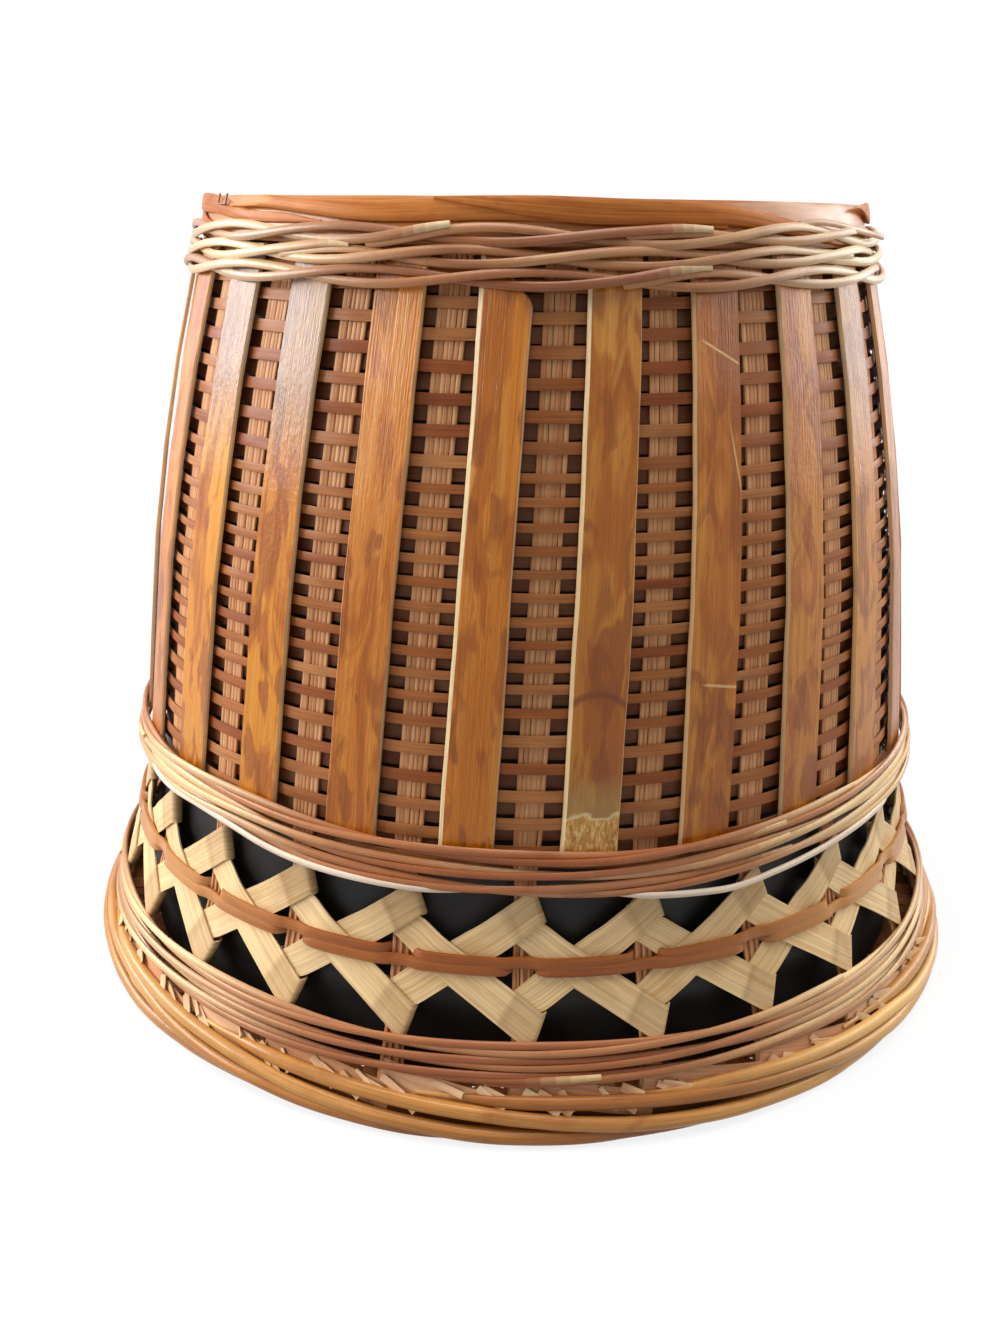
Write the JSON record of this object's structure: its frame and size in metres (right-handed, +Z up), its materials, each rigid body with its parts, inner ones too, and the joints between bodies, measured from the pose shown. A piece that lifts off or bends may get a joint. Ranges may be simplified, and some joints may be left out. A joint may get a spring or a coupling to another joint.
{
  "type": "bamboo basket planter",
  "caption": "Tapered woven bamboo planter with upright slats, an openwork zigzag skirt, a wide cane foot and a plastic film liner.",
  "frame": {"origin": "centre of the circle on which the foot border stands, at floor level", "axes": "+Z up along the planter's axis, -Y towards the front, +X to the right seen from the front"},
  "size_m": [0.343, 0.3414, 0.269],
  "materials": {
    "slat": "varnished split bamboo, mottled orange brown, glossy",
    "hoop": "varnished flat bamboo strip, satin",
    "stake": "bundled bamboo fibre, fine upright lines, satin",
    "weft": "thin split bamboo weft, reddish straw, satin",
    "rim_cane": "varnished cane, straw to red brown, glossy",
    "band_cane": "varnished round cane, red brown to straw, satin gloss",
    "ring_cane": "varnished flat cane, red brown, glossy",
    "foot_cane": "varnished thick cane, golden brown, glossy",
    "straw_strip": "unvarnished pale bamboo strip, fine grain, matt",
    "mat": "plain woven split bamboo, dull",
    "liner_film": "black polythene film, soft sheen"
  },
  "bodies": {
    "root": {"stake_01": "stake", "stake_02": "stake", "stake_03": "stake", "stake_04": "stake", "stake_05": "stake", "stake_06": "stake", "stake_07": "stake", "stake_08": "stake", "stake_09": "stake", "stake_10": "stake", "stake_11": "stake", "stake_12": "stake", "stake_13": "stake", "stake_14": "stake", "stake_15": "stake", "stake_16": "stake", "stake_17": "stake", "stake_18": "stake", "stake_19": "stake", "stake_20": "stake", "stake_21": "stake", "stake_22": "stake", "stake_23": "stake", "stake_24": "stake", "stake_25": "stake", "slat_01": "slat", "slat_02": "slat", "slat_03": "slat", "slat_04": "slat", "slat_05": "slat", "slat_06": "slat", "slat_07": "slat", "slat_08": "slat", "slat_09": "slat", "slat_10": "slat", "slat_11": "slat", "slat_12": "slat", "slat_13": "slat", "slat_14": "slat", "slat_15": "slat", "slat_16": "slat", "slat_17": "slat", "slat_18": "slat", "slat_19": "slat", "slat_20": "slat", "slat_21": "slat", "slat_22": "slat", "slat_23": "slat", "slat_24": "slat", "slat_25": "slat", "weft": "weft", "rim_hoop": "hoop", "rim_winding": "rim_cane", "waist_band": "band_cane", "middle_ring": "ring_cane", "lower_band": "band_cane", "zigzag_strip": "straw_strip", "foot_border": "foot_cane", "base_mat": "mat", "liner": "liner_film"}
  },
  "joints": []
}
